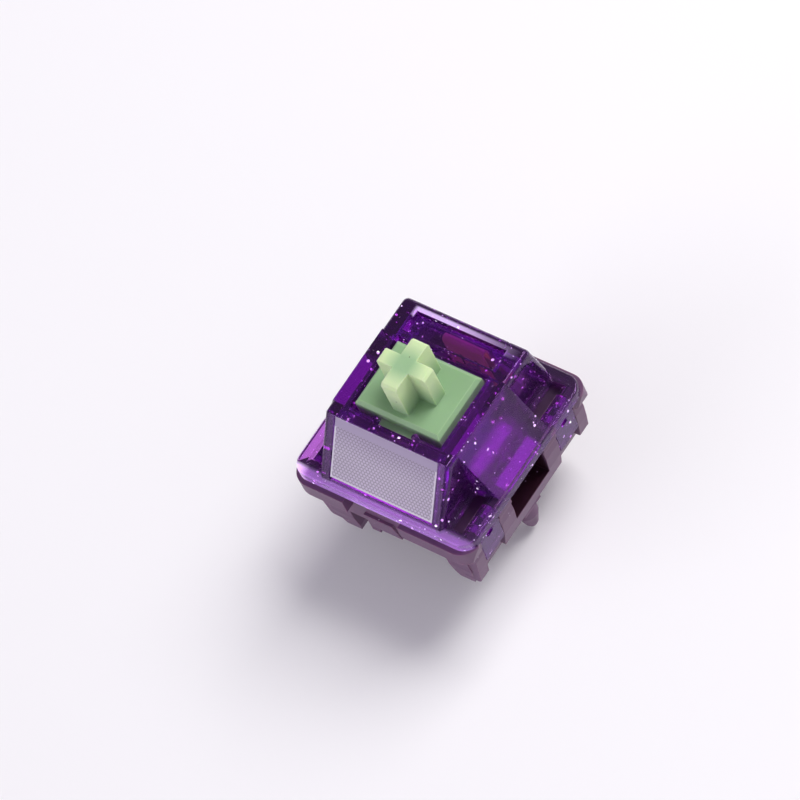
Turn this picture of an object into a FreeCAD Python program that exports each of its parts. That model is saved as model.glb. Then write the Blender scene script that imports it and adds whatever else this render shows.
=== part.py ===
"""Mechanical keyboard switch with a slider stem, in millimetres.

+Z is up, +Y is the side of the metal contacts and -Y the side of the light window.
The origin is on the axis of the centre post, in the plane where the switch sits on its board.
"""
import FreeCAD
import Part
import Sketcher
import math
import os
import re

# Driving dimensions: name, value in millimetres (degrees for angles).
SIZES = [
    # overall levels
    ("flange_bottom", 5.0),
    ("flange_top", 6.3),
    ("lip_top", 7.1),
    ("roof_top", 11.55),
    # bottom housing, outside
    ("plate_cutout", 14.0),
    ("flange_overhang", 0.8),
    ("flange_round", 1.5),
    ("flange_taper", 0.4),
    ("flange_gap", 5.95),
    ("shoulder_width", 14.4),
    ("body_level", 3.9),
    ("waist_width", 13.6),
    ("waist_level", 2.5),
    ("frame_foot_width", 12.66),
    ("frame_bottom", 0.8),
    ("frame_half", 3.6),
    ("flank_depth", 6.1),
    ("flank_draft", 0.55),
    ("end_draft", 0.26),
    ("draft_level", 2.0),
    ("niche_half", 2.1),
    ("niche_floor", 2.25),
    ("niche_depth", 5.4),
    ("rib_bottom", 0.9),
    ("rib_width", 1.0),
    ("rib_edge", 0.2),
    ("front_recess_width", 8.2),
    ("front_recess_top", 3.1),
    ("recess_flare", 0.18),
    ("recess_flare_height", 0.76),
    ("notch_west", 3.1),
    ("notch_east", 1.6),
    ("clip_width", 2.5),
    ("clip_offset", -1.05),
    ("clip_bottom", 2.3),
    ("clip_top", 4.4),
    ("clip_reach", 0.25),
    ("clip_rib_width", 0.75),
    ("clip_rib_bottom", 1.8),
    # bottom housing, inside
    ("floor_thickness", 1.0),
    ("divider", 0.5),
    ("chamber_west", 4.7),
    ("chamber_east", 4.0),
    ("chamber_back", 6.15),
    ("lamp_slot_width", 6.0),
    ("lamp_slot_front", 6.3),
    ("lamp_slot_back", 4.5),
    # pegs on the board side
    ("post_diameter", 3.95),
    ("post_length", 3.3),
    ("post_edge", 0.35),
    ("bore_diameter", 2.5),
    ("bore_end_wall", 0.5),
    ("sleeve_diameter", 3.3),
    ("sleeve_top", 3.2),
    ("sleeve_edge", 0.3),
    ("peg_pitch", 10.16),
    ("peg_diameter", 1.7),
    ("peg_straight", 1.15),
    ("peg_length", 2.8),
    ("peg_tip", 1.0),
    ("peg_nose", 0.3),
    ("peg_boss", 0.1),
    # top housing
    ("lip_inset_side", 0.1),
    ("lip_inset_end", 0.4),
    ("lip_round", 1.25),
    ("lip_edge", 0.2),
    ("block_width", 10.66),
    ("block_round", 0.4),
    ("roof_front", 4.1),
    ("roof_back", 6.05),
    ("back_base", 6.9),
    ("front_base", 7.17),
    ("roof_edge", 0.5),
    ("ramp_half", 3.1),
    ("ramp_top_width", 10.5),
    ("ramp_base_width", 14.96),
    ("wall", 0.78),
    ("roof_thickness", 0.9),
    ("opening_width", 7.9),
    ("opening_front", 3.1),
    ("opening_back", 3.15),
    ("nub_inset", 1.72),
    ("nub_diameter", 0.5),
    ("nub_drop", 0.1),
    ("throat_depth", 0.3),
    ("tray_width", 7.8),
    ("tray_front", 3.65),
    ("tray_back", 5.45),
    ("tray_depth", 0.8),
    ("tray_floor", 0.6),
    ("arc_radius", 2.2),
    ("arc_back", 3.55),
    ("arc_offset", -0.3),
    ("pocket_front", 6.45),
    ("slot_outer", 6.2),
    ("pocket_rim", 6.85),
    ("slot_lead", 0.65),
    ("window_width", 8.84),
    ("window_bottom", 7.45),
    ("window_bar", 0.07),
    # clip legs of the top housing
    ("leg_inner", 3.65),
    ("leg_width", 2.2),
    ("leg_bottom", 2.35),
    ("leg_tip_edge", 0.3),
    ("leg_root_reach", 7.08),
    ("leg_tip_reach", 6.85),
    ("leg_catch_level", 5.0),
    ("catch_width", 0.55),
    ("catch_height", 0.4),
    ("catch_root", 0.3),
    ("catch_lead", 0.2),
    # light diffuser
    ("diffuser_thickness", 0.85),
    ("diffuser_recess", 0.06),
    ("diffuser_foot", 3.3),
    # stem
    ("stem_width", 7.2),
    ("stem_depth", 5.4),
    ("stem_top", 11.9),
    ("stem_bottom", 8.2),
    ("stem_wall", 0.9),
    ("stem_seat", 10.2),
    ("stem_bevel", 0.25),
    ("cross_top", 15.2),
    ("cross_span", 4.1),
    ("cross_thin", 1.1),
    ("cross_thick", 1.31),
    ("cross_bevel", 0.18),
    ("skirt_width", 3.0),
    ("skirt_reach", 3.2),
    ("skirt_top", 11.0),
    ("skirt_bottom", 6.6),
    ("wing_reach", 4.4),
    ("wing_width", 1.5),
    ("wing_bottom", 6.2),
    ("pole_diameter", 2.2),
    ("pole_bottom", 1.35),
    ("pole_edge", 0.3),
    ("leg_gap", 1.7),
    ("cam_width", 0.9),
    ("cam_bottom", 6.1),
    ("cam_nose", 4.6),
    ("cam_relief", 4.15),
    ("cam_nose_height", 0.4),
    ("cam_edge", 0.2),
    ("cam_ramp", 1.0),
    ("cam_shoulder", 0.8),
    # spring
    ("wire_diameter", 0.32),
    ("coil_diameter", 4.05),
    ("coil_count", 11),
    # metal contacts
    ("sheet", 0.3),
    ("pin_width", 1.0),
    ("pin_length", 3.3),
    ("fixed_pin_x", -3.81),
    ("fixed_pin_y", 2.54),
    ("leaf_pin_x", 2.54),
    ("leaf_pin_y", 5.08),
    ("fixed_plate_y", 3.6),
    ("fixed_strip_height", 0.85),
    ("post_plate_width", 1.0),
    ("post_plate_top", 6.45),
    ("contact_level", 5.9),
    ("point_length", 0.7),
    ("point_height", 0.2),
    ("leaf_sheet", 0.12),
    ("leaf_width", 3.5),
    ("leaf_front_y", 4.75),
    ("leaf_fold_radius", 0.25),
    ("leaf_fold_level", 9.6),
    ("leaf_tab_height", 0.9),
    ("leaf_tip", 5.6),
    ("leaf_slot_top", 8.6),
    ("leaf_tongue_width", 0.9),
    ("tongue_drop", 0.1),
    ("carrier_top", 9.3),
    ("carrier_head", 1.2),
    ("carrier_neck", 2.5),
    # clearances
    ("slide_gap", 0.2),
    ("seat_gap", 0.05),
]
NAMES = [name for name, value in SIZES]

doc = FreeCAD.newDocument("KeyboardSwitch")
sheet = doc.addObject("Spreadsheet::Sheet", "Sizes")
for row, (name, value) in enumerate(SIZES, start=1):
    sheet.set(f"A{row}", name)
    sheet.set(f"B{row}", str(value))
    sheet.setAlias(f"B{row}", name)
doc.recompute()

# Along each origin plane's normal, the sign of the axis that it stands on.
NORMAL_SIGN = {"XY_Plane": "", "XZ_Plane": "-", "YZ_Plane": ""}


def bound(text):
    """Point each size named in a formula at its cell of the sheet."""
    def cell(match):
        word = match.group(0)
        return f"Sizes.{word}" if word in NAMES else word
    return re.sub(r"[a-z_]+", cell, text)


def check(item):
    if "Invalid" in item.State or "Error" in item.State:
        raise RuntimeError(f"{item.Name} failed: {item.State}")


def new_body(label):
    body = doc.addObject("PartDesign::Body", label)
    body.Label = label
    return body


def origin_plane(body, role):
    return [item for item in body.Origin.OriginFeatures if item.Role == role][0]


def new_sketch(body, name, role, across="0", along="0", level="0"):
    """Sketch on an origin plane, its own origin moved across, along and off that plane."""
    sketch = body.newObject("Sketcher::SketchObject", name)
    sketch.AttachmentSupport = (origin_plane(body, role), [""])
    sketch.MapMode = "FlatFace"
    sketch.setExpression(".AttachmentOffset.Base.x", bound(across))
    sketch.setExpression(".AttachmentOffset.Base.y", bound(along))
    sketch.setExpression(".AttachmentOffset.Base.z", bound(f"{NORMAL_SIGN[role]}({level})"))
    return sketch


def draw_outline(sketch, corners):
    """Closed outline of straight lines, each corner held from the sketch's origin."""
    first = len(sketch.Geometry)
    count = len(corners)
    turn = 2 * math.pi / count
    rough = [FreeCAD.Vector(math.cos(turn * k), math.sin(turn * k), 0) for k in range(count)]
    for k in range(count):
        sketch.addGeometry(Part.LineSegment(rough[k], rough[(k + 1) % count]), False)
    for k in range(count):
        sketch.addConstraint(Sketcher.Constraint(
            "Coincident", first + k, 2, first + (k + 1) % count, 1))
    for k, (u_text, v_text) in enumerate(corners):
        for kind, text, start in (("DistanceX", u_text, rough[k].x), ("DistanceY", v_text, rough[k].y)):
            held = sketch.addConstraint(Sketcher.Constraint(kind, -1, 1, first + k, 1, start))
            sketch.setExpression(f"Constraints[{held}]", bound(text))


def draw_circle(sketch, u_text, v_text, diameter):
    place = sketch.addGeometry(Part.Circle(FreeCAD.Vector(1, 1, 0), FreeCAD.Vector(0, 0, 1), 1), False)
    for kind, text in (("DistanceX", u_text), ("DistanceY", v_text)):
        held = sketch.addConstraint(Sketcher.Constraint(kind, -1, 1, place, 3, 1.0))
        sketch.setExpression(f"Constraints[{held}]", bound(text))
    held = sketch.addConstraint(Sketcher.Constraint("Diameter", place, 2.0))
    sketch.setExpression(f"Constraints[{held}]", bound(diameter))


def rectangle(u_low, u_high, v_low, v_high):
    return [(u_low, v_low), (u_high, v_low), (u_high, v_high), (u_low, v_high)]


def mirrored(corners):
    """The same outline on the other side of the sketch's upright axis."""
    return [(f"-({u_text})", v_text) for u_text, v_text in corners]


def extrude(body, kind, name, role, outlines, low, high, circles=()):
    """Pad or Pocket of outlines on a plane, from low to high along the axis across it."""
    sketch = new_sketch(body, f"{name}_sketch", role, level=f"(({low}) + ({high})) / 2")
    for corners in outlines:
        draw_outline(sketch, corners)
    for circle in circles:
        draw_circle(sketch, *circle)
    feature = body.newObject(f"PartDesign::{kind}", name)
    feature.Profile = sketch
    feature.SideType = "Symmetric"
    feature.setExpression("Length", bound(f"({high}) - ({low})"))
    if outlines and len(outlines) > 1 or len(circles) > 1:
        feature.AllowMultiFace = True
    doc.recompute()
    check(feature)
    return feature


def pad(body, name, role, outlines, low, high, circles=()):
    return extrude(body, "Pad", name, role, outlines, low, high, circles)


def pocket(body, name, role, outlines, low, high, circles=()):
    """Pocket that must take material away."""
    before = body.Shape.Volume
    feature = extrude(body, "Pocket", name, role, outlines, low, high, circles)
    if not body.Shape.Volume < before:
        raise RuntimeError(f"{name} cuts nothing")
    return feature


def turn_profile(body, name, corners, across="0", level="0", angle=360):
    """Revolution of a radius and height outline round an upright axis."""
    sketch = new_sketch(body, f"{name}_sketch", "XZ_Plane", across=across, level=level)
    draw_outline(sketch, corners)
    feature = body.newObject("PartDesign::Revolution", name)
    feature.Profile = sketch
    feature.ReferenceAxis = (sketch, ["V_Axis"])
    feature.Angle = angle
    doc.recompute()
    check(feature)
    return feature


def find_edges(shape, wanted):
    return [f"Edge{k}" for k, edge in enumerate(shape.Edges, start=1) if wanted(edge)]


def soften(body, kind, name, size, wanted):
    """Fillet or Chamfer of the edges that the test picks."""
    base = body.Tip
    names = find_edges(base.Shape, wanted)
    if not names:
        raise RuntimeError(f"{name} finds no edge")
    feature = body.newObject(f"PartDesign::{kind}", name)
    feature.Base = (base, names)
    feature.setExpression("Radius" if kind == "Fillet" else "Size", bound(size))
    doc.recompute()
    check(feature)
    return feature


def size(name):
    """Value of a size, read from its cell."""
    return float(getattr(sheet, name))


def near(a, b):
    return abs(a - b) < 1e-4


def is_upright(edge):
    box = edge.BoundBox
    return box.ZLength > 1e-3 and box.XLength < 1e-6 and box.YLength < 1e-6


def is_level_at(edge, z):
    box = edge.BoundBox
    return box.ZLength < 1e-6 and near(box.ZMin, z)


# Bottom housing: one moulding with the flange, board pegs, wells and side frames.
bottom = new_body("bottom_housing")
FLANGE_HALF = "(plate_cutout / 2 + flange_overhang)"
CORE_HALF_OUTLINE = [
    ("flank_depth - flank_draft", "0"),
    ("flank_depth - flank_draft * (1 - frame_bottom / draft_level)", "frame_bottom"),
    ("frame_foot_width / 2", "frame_bottom"),
    ("waist_width / 2", "waist_level"),
    ("plate_cutout / 2", "body_level"),
    ("plate_cutout / 2", "flange_bottom"),
    ("shoulder_width / 2", "flange_top"),
]


def flange_half():
    """Value of half the flange's side."""
    return size("plate_cutout") / 2 + size("flange_overhang")


pad(bottom, "core", "XZ_Plane",
    [CORE_HALF_OUTLINE + [(f"-({u})", v) for u, v in reversed(CORE_HALF_OUTLINE)]],
    "-plate_cutout / 2", "plate_cutout / 2")
pad(bottom, "flange", "XY_Plane",
    [rectangle(f"-{FLANGE_HALF}", FLANGE_HALF, f"-{FLANGE_HALF}", FLANGE_HALF)],
    "flange_bottom", "flange_top")
soften(bottom, "Fillet", "flange_corners", "flange_round",
       lambda e: is_upright(e) and near(abs(e.BoundBox.XMin), flange_half())
       and near(abs(e.BoundBox.YMin), flange_half()))
flange_taper_cut = [
    (FLANGE_HALF, "flange_top"),
    (f"{FLANGE_HALF} - flange_taper", "flange_bottom"),
    (f"{FLANGE_HALF} + flange_taper", "flange_bottom"),
    (f"{FLANGE_HALF} + flange_taper", "flange_top"),
]
pocket(bottom, "flange_tapers", "XZ_Plane", [flange_taper_cut, mirrored(flange_taper_cut)],
       f"-{FLANGE_HALF}", FLANGE_HALF)

# The flange stops short of the clip legs on both sides, its ends cut at 45 degrees.
GAP_REACH = f"({FLANGE_HALF} + flange_taper)"
GAP_FLARE = f"({GAP_REACH} - shoulder_width / 2)"
flange_side_cut = [
    ("shoulder_width / 2", "-flange_gap"),
    (GAP_REACH, f"-(flange_gap + {GAP_FLARE})"),
    (GAP_REACH, f"flange_gap + {GAP_FLARE}"),
    ("shoulder_width / 2", "flange_gap"),
]
pocket(bottom, "flange_side_gaps", "XY_Plane", [flange_side_cut, mirrored(flange_side_cut)],
       "flange_bottom", "flange_top")
end_cut = [
    ("plate_cutout / 2", "draft_level"),
    ("plate_cutout / 2 - end_draft", "0"),
    ("plate_cutout", "-0.01 * draft_level"),
    ("plate_cutout", "draft_level"),
]
pocket(bottom, "end_drafts", "YZ_Plane", [end_cut, mirrored(end_cut)], "-plate_cutout", "plate_cutout")

# The flanks fall back beside the frames, where the clip legs of the top housing come down.
LEG_BAY_END = "leg_inner + leg_width + (leg_inner - frame_half)"


def flank_cut(top_level):
    """Outline of what is taken off a flank, down to the drafted foot."""
    return [
        ("flank_depth", top_level),
        ("flank_depth", "draft_level"),
        ("flank_depth - flank_draft", "0"),
        ("plate_cutout", "0"),
        ("plate_cutout", top_level),
    ]


LEG_BAY = flank_cut("flange_top")
CORNER_BAY = flank_cut("flange_bottom")
pocket(bottom, "leg_bays_back", "XZ_Plane", [LEG_BAY, mirrored(LEG_BAY)], "frame_half", LEG_BAY_END)
pocket(bottom, "leg_bays_front", "XZ_Plane", [LEG_BAY, mirrored(LEG_BAY)],
       f"-({LEG_BAY_END})", "-frame_half")
pocket(bottom, "corner_bays_back", "XZ_Plane", [CORNER_BAY, mirrored(CORNER_BAY)],
       LEG_BAY_END, "plate_cutout")
pocket(bottom, "corner_bays_front", "XZ_Plane", [CORNER_BAY, mirrored(CORNER_BAY)],
       "-plate_cutout", f"-({LEG_BAY_END})")

# Ribs with blunt tips stand under the four corners of the flange.
rib_outline = [
    ("flank_depth - rib_width", "flange_bottom"),
    ("plate_cutout / 2", "flange_bottom"),
    ("plate_cutout / 2", "body_level"),
    ("waist_width / 2", "waist_level"),
    ("frame_foot_width / 2 + rib_edge", "rib_bottom + rib_edge"),
    ("frame_foot_width / 2", "rib_bottom"),
    ("flank_depth - rib_width", "rib_bottom"),
]
pad(bottom, "ribs_back", "XZ_Plane", [rib_outline, mirrored(rib_outline)],
    LEG_BAY_END, f"{LEG_BAY_END} + rib_width")
pad(bottom, "ribs_front", "XZ_Plane", [rib_outline, mirrored(rib_outline)],
    f"-({LEG_BAY_END} + rib_width)", f"-({LEG_BAY_END})")

# Deep niches open in both flanks between the frame posts.
niche = rectangle("-niche_half", "niche_half", "niche_floor", "flange_top")
pocket(bottom, "niche_east", "YZ_Plane", [niche], "niche_depth", "plate_cutout")
pocket(bottom, "niche_west", "YZ_Plane", [niche], "-plate_cutout", "-niche_depth")

# Under the light window the front stands open for a lamp on the board.
pocket(bottom, "front_recess", "XZ_Plane", [[
    ("-(front_recess_width / 2 + recess_flare)", "0"),
    ("front_recess_width / 2 + recess_flare", "0"),
    ("front_recess_width / 2", "recess_flare_height"),
    ("front_recess_width / 2", "front_recess_top"),
    ("-front_recess_width / 2", "front_recess_top"),
    ("-front_recess_width / 2", "recess_flare_height"),
]], "-plate_cutout", "-lamp_slot_back")

# Snap wedges hold the switch in its plate at the front and the back, each under a notch of the flange.
pocket(bottom, "clip_notches", "XY_Plane",
       [rectangle("-notch_west", "notch_east", "-plate_cutout", "-plate_cutout / 2"),
        rectangle("-notch_west", "notch_east", "plate_cutout / 2", "plate_cutout")],
       "flange_bottom", "flange_top")
clip_outline = [
    ("plate_cutout / 2 - end_draft", "clip_top"),
    ("plate_cutout / 2 + clip_reach", "clip_top"),
    ("plate_cutout / 2 + clip_reach", "clip_top - clip_reach"),
    ("plate_cutout / 2", "clip_bottom"),
    ("plate_cutout / 2 - end_draft", "clip_bottom"),
]
pad(bottom, "plate_clips", "YZ_Plane", [clip_outline, mirrored(clip_outline)],
    "clip_offset - clip_width / 2", "clip_offset + clip_width / 2")
pad(bottom, "clip_rib", "XZ_Plane",
    [rectangle("clip_offset - clip_width / 2 - clip_reach",
               "clip_offset - clip_width / 2 - clip_reach + clip_rib_width",
               "clip_rib_bottom", "front_recess_top")],
    "-plate_cutout / 2", "-lamp_slot_front - seat_gap")

# Wells: the stem's shaft with its guide slots, the contact chamber and the lamp slot.
SHAFT_BACK = "stem_depth / 2 + slide_gap"
pocket(bottom, "stem_shaft", "XY_Plane",
       [rectangle("-stem_width / 2 - slide_gap", "stem_width / 2 + slide_gap",
                  "-skirt_reach - slide_gap", SHAFT_BACK)],
       "floor_thickness", "flange_top")
pocket(bottom, "guide_slots", "XY_Plane",
       [rectangle("-wing_reach - slide_gap", "wing_reach + slide_gap",
                  "-wing_width / 2 - seat_gap", "wing_width / 2 + seat_gap")],
       "floor_thickness", "flange_top")
pocket(bottom, "contact_chamber", "XY_Plane",
       [rectangle("-chamber_west", "chamber_east", f"{SHAFT_BACK} + divider", "chamber_back")],
       "floor_thickness", "flange_top")
CAM_OUTER = "leg_gap / 2 + cam_width"
pocket(bottom, "cam_gate", "XY_Plane",
       [rectangle(f"-({CAM_OUTER}) - slide_gap", f"{CAM_OUTER} + slide_gap",
                  f"{SHAFT_BACK} - divider", f"{SHAFT_BACK} + 2 * divider")],
       "floor_thickness", "flange_top")
pocket(bottom, "lamp_slot", "XY_Plane",
       [rectangle("-lamp_slot_width / 2", "lamp_slot_width / 2", "-lamp_slot_front", "-lamp_slot_back")],
       "0", "flange_top")

# Centre post with the sleeve that holds the spring, bored for the stem's pole.
turn_profile(bottom, "centre_post", [
    ("0", "-post_length"),
    ("post_diameter / 2 - post_edge", "-post_length"),
    ("post_diameter / 2", "-post_length + post_edge"),
    ("post_diameter / 2", "floor_thickness / 2"),
    ("sleeve_diameter / 2", "floor_thickness / 2"),
    ("sleeve_diameter / 2", "sleeve_top - sleeve_edge"),
    ("sleeve_diameter / 2 - sleeve_edge / 2", "sleeve_top"),
    ("0", "sleeve_top"),
])
pocket(bottom, "pole_bore", "XY_Plane", [], "-post_length + bore_end_wall", "sleeve_top",
       circles=[("0", "0", "bore_diameter")])
peg_block = rectangle("peg_pitch / 2 - peg_diameter / 2", "peg_pitch / 2 + peg_diameter / 2 + peg_boss",
                      "-(peg_diameter / 2 + peg_boss)", "peg_diameter / 2 + peg_boss")
pad(bottom, "peg_blocks", "XY_Plane", [peg_block, mirrored(peg_block)], "0", "frame_bottom")
for side, sign in (("east", ""), ("west", "-")):
    turn_profile(bottom, f"board_peg_{side}", [
        ("0", "-peg_length"),
        ("peg_tip / 2 - peg_nose / 2", "-peg_length"),
        ("peg_tip / 2", "-peg_length + peg_nose"),
        ("peg_diameter / 2", "-peg_straight"),
        ("peg_diameter / 2", "floor_thickness / 2"),
        ("0", "floor_thickness / 2"),
    ], across=f"{sign}peg_pitch / 2")

# Slots that the two terminals are pressed into, and the notch for the fixed one's foot.
for label, pin_x, pin_y in (("fixed", "fixed_pin_x", "fixed_pin_y"), ("leaf", "leaf_pin_x", "leaf_pin_y")):
    pocket(bottom, f"{label}_pin_slot", "XY_Plane",
           [rectangle(f"{pin_x} - pin_width / 2 - seat_gap / 2", f"{pin_x} + pin_width / 2 + seat_gap / 2",
                      f"{pin_y} - sheet / 2 - seat_gap / 2", f"{pin_y} + sheet / 2 + seat_gap / 2")],
           "0", "floor_thickness")
pocket(bottom, "foot_notch", "XY_Plane",
       [rectangle("fixed_pin_x - pin_width / 2 - seat_gap / 2", "fixed_pin_x + pin_width / 2 + seat_gap / 2",
                  "fixed_pin_y - sheet / 2 - seat_gap / 2", "fixed_plate_y + sheet")],
       "floor_thickness", "floor_thickness + fixed_strip_height")

# Catches that snap into the windows of the clip legs.
LEG_MIDDLE = "leg_inner + leg_width / 2"
catch_outline = [
    ("flank_depth - catch_root", "leg_catch_level - catch_height / 2"),
    ("leg_tip_reach", "leg_catch_level - catch_height / 2"),
    ("leg_tip_reach", "leg_catch_level"),
    ("flank_depth + catch_lead", "leg_catch_level + catch_height / 2"),
    ("flank_depth - catch_root", "leg_catch_level + catch_height / 2"),
]
pad(bottom, "catches_back", "XZ_Plane", [catch_outline, mirrored(catch_outline)],
    f"{LEG_MIDDLE} - catch_width / 2", f"{LEG_MIDDLE} + catch_width / 2")
pad(bottom, "catches_front", "XZ_Plane", [catch_outline, mirrored(catch_outline)],
    f"-({LEG_MIDDLE}) - catch_width / 2", f"-({LEG_MIDDLE}) + catch_width / 2")


# Top housing: a clear hood with a sloped light window, side ramps and four clip legs.
top = new_body("top_housing")
# Rise over run of the sloped front and of the back wall.
FRONT_LEAN = "(front_base - roof_front) / (roof_top - lip_top)"
BACK_LEAN = "(back_base - roof_back) / (roof_top - lip_top)"
# Thickness of a wall of the sloped front, measured along Y, over its true thickness.
FRONT_STRETCH = f"sqrt(1 + ({FRONT_LEAN}) ^ 2)"
BLOCK_BASE = "(flange_top + lip_top) / 2"
pad(top, "block", "YZ_Plane", [[
    (f"-(front_base + {FRONT_LEAN} * (lip_top - {BLOCK_BASE}))", BLOCK_BASE),
    (f"back_base + {BACK_LEAN} * (lip_top - {BLOCK_BASE})", BLOCK_BASE),
    ("roof_back", "roof_top"),
    ("-roof_front", "roof_top"),
]], "-block_width / 2", "block_width / 2")
soften(top, "Fillet", "roof_back_edge", "roof_edge",
       lambda e: is_level_at(e, size("roof_top")) and near(e.BoundBox.YMin, size("roof_back"))
       and near(e.BoundBox.YMax, size("roof_back")))
soften(top, "Fillet", "block_sides", "block_round",
       lambda e: near(abs(e.BoundBox.XMin), size("block_width") / 2) and e.BoundBox.XLength < 1e-6
       and e.BoundBox.ZMax > size("lip_top"))
ramp_outline = [
    ("-ramp_base_width / 2", BLOCK_BASE),
    ("ramp_base_width / 2", BLOCK_BASE),
    ("ramp_base_width / 2", "lip_top"),
    ("ramp_top_width / 2", "roof_top"),
    ("-ramp_top_width / 2", "roof_top"),
    ("-ramp_base_width / 2", "lip_top"),
]
pad(top, "ramps", "XZ_Plane", [ramp_outline], "-ramp_half", "ramp_half")


def on_lip_rim(edge):
    """True for the outer edges of the lip, corners included."""
    x = abs(edge.CenterOfMass.x)
    y = abs(edge.CenterOfMass.y)
    half_width = flange_half() - size("lip_inset_side")
    half_depth = flange_half() - size("lip_inset_end")
    reach = size("lip_round") / 2
    return near(x, half_width) or near(y, half_depth) or (
        x > half_width - reach and y > half_depth - reach)


LIP_HALF_WIDTH = f"({FLANGE_HALF} - lip_inset_side)"
LIP_HALF_DEPTH = f"({FLANGE_HALF} - lip_inset_end)"
pad(top, "lip", "XY_Plane",
    [rectangle(f"-{LIP_HALF_WIDTH}", LIP_HALF_WIDTH, f"-{LIP_HALF_DEPTH}", LIP_HALF_DEPTH)],
    "flange_top", "lip_top")
soften(top, "Fillet", "lip_corners", "lip_round", lambda e: is_upright(e) and on_lip_rim(e))
soften(top, "Fillet", "lip_top_edge", "lip_edge",
       lambda e: is_level_at(e, size("lip_top")) and on_lip_rim(e))

# Clip legs, leaning in towards their tips, with a window for the catch.
leg_outline = [
    ("slot_outer", BLOCK_BASE),
    ("leg_root_reach", BLOCK_BASE),
    ("leg_root_reach", "leg_catch_level"),
    ("leg_tip_reach", "leg_bottom + leg_tip_edge"),
    ("leg_tip_reach - leg_tip_edge", "leg_bottom"),
    ("slot_outer + leg_tip_edge / 3", "leg_bottom"),
    ("slot_outer", "leg_bottom + leg_tip_edge"),
]
catch_window = rectangle("slot_outer - seat_gap", "leg_root_reach + seat_gap",
                         "leg_catch_level - catch_height / 2 - seat_gap",
                         "leg_catch_level + catch_height / 2 + seat_gap")
for side, low, high in (("back", "leg_inner", "leg_inner + leg_width"),
                        ("front", "-(leg_inner + leg_width)", "-leg_inner")):
    middle = f"(({low}) + ({high})) / 2"
    pad(top, f"clip_legs_{side}", "XZ_Plane", [leg_outline, mirrored(leg_outline)], low, high)
    pocket(top, f"catch_windows_{side}", "XZ_Plane", [catch_window, mirrored(catch_window)],
           f"{middle} - catch_width / 2 - seat_gap", f"{middle} + catch_width / 2 + seat_gap")

# The hood is hollow: its inside follows the front slope, and steps down under the tray.
TRAY_CEILING = "roof_top - tray_depth - tray_floor"
CEILING = "roof_top - roof_thickness"
pocket(top, "hollow", "YZ_Plane", [[
    (f"-(front_base + {FRONT_LEAN} * (lip_top - flange_top) - {FRONT_STRETCH} * wall)", "flange_top"),
    (f"-(front_base + {FRONT_LEAN} * (lip_top - ({CEILING})) - {FRONT_STRETCH} * wall)", CEILING),
    ("tray_front - wall / 2", CEILING),
    ("tray_front - wall / 2", TRAY_CEILING),
    (f"back_base + {BACK_LEAN} * (lip_top - ({TRAY_CEILING})) - wall", TRAY_CEILING),
    (f"back_base + {BACK_LEAN} * (lip_top - flange_top) - wall", "flange_top"),
]], "-(block_width / 2 - wall)", "block_width / 2 - wall")
pocket(top, "stem_opening", "XY_Plane",
       [rectangle("-opening_width / 2", "opening_width / 2", "-opening_front", "opening_back")],
       CEILING, "roof_top")
pocket(top, "opening_throat", "XY_Plane",
       [rectangle("-nub_inset", "nub_inset", "-opening_front - throat_depth", "0")],
       CEILING, "roof_top")
pad(top, "opening_nubs", "XY_Plane", [], CEILING, "roof_top - nub_drop", circles=[
    ("-nub_inset", "-opening_front", "nub_diameter"), ("nub_inset", "-opening_front", "nub_diameter")])
pocket(top, "arc_recess", "XY_Plane", [], "roof_top - tray_depth / 2", "roof_top",
       circles=[("arc_offset", "arc_back - arc_radius", "2 * arc_radius")])
pocket(top, "back_tray", "XY_Plane",
       [rectangle("-tray_width / 2", "tray_width / 2", "tray_front", "tray_back")],
       "roof_top - tray_depth", "roof_top")

# The window takes the diffuser: it runs up under a bevelled bar at the edge of the roof.
BAR_BEVEL = "roof_top - window_bar"
window_outline = [
    (f"-(front_base + {FRONT_LEAN} * (lip_top - window_bottom)) - wall", "window_bottom"),
    ("-lamp_slot_back - divider", "window_bottom"),
    ("-(roof_front - (roof_thickness - window_bar))", CEILING),
    (f"-(front_base + {FRONT_LEAN} * (lip_top - ({BAR_BEVEL})))", BAR_BEVEL),
    (f"-(front_base + {FRONT_LEAN} * (lip_top - ({BAR_BEVEL}))) - wall", BAR_BEVEL),
]
pocket(top, "light_window", "YZ_Plane", [window_outline], "-window_width / 2", "window_width / 2")

# Corner pockets: a slanted lead-in beside a slot over each clip leg.
pocket_outline = [
    ("block_width / 2", "flange_top"),
    ("slot_outer", "flange_top"),
    ("slot_outer", "lip_top - slot_lead"),
    ("pocket_rim", "lip_top"),
    ("pocket_rim", "lip_top + slot_lead"),
    ("block_width / 2", "lip_top + slot_lead"),
]
pocket(top, "corner_pockets_back", "XZ_Plane", [pocket_outline, mirrored(pocket_outline)],
       "ramp_half", "pocket_front")
pocket(top, "corner_pockets_front", "XZ_Plane", [pocket_outline, mirrored(pocket_outline)],
       "-pocket_front", "-ramp_half")


# Light diffuser: a clear wedge in the window, with a foot down in the lamp slot.
diffuser = new_body("light_diffuser")


def slope_y(level, depth):
    """Y on the front slope at a level, set in by a depth measured along Y."""
    return f"-(front_base + {FRONT_LEAN} * (lip_top - ({level})) - ({depth}))"


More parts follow.
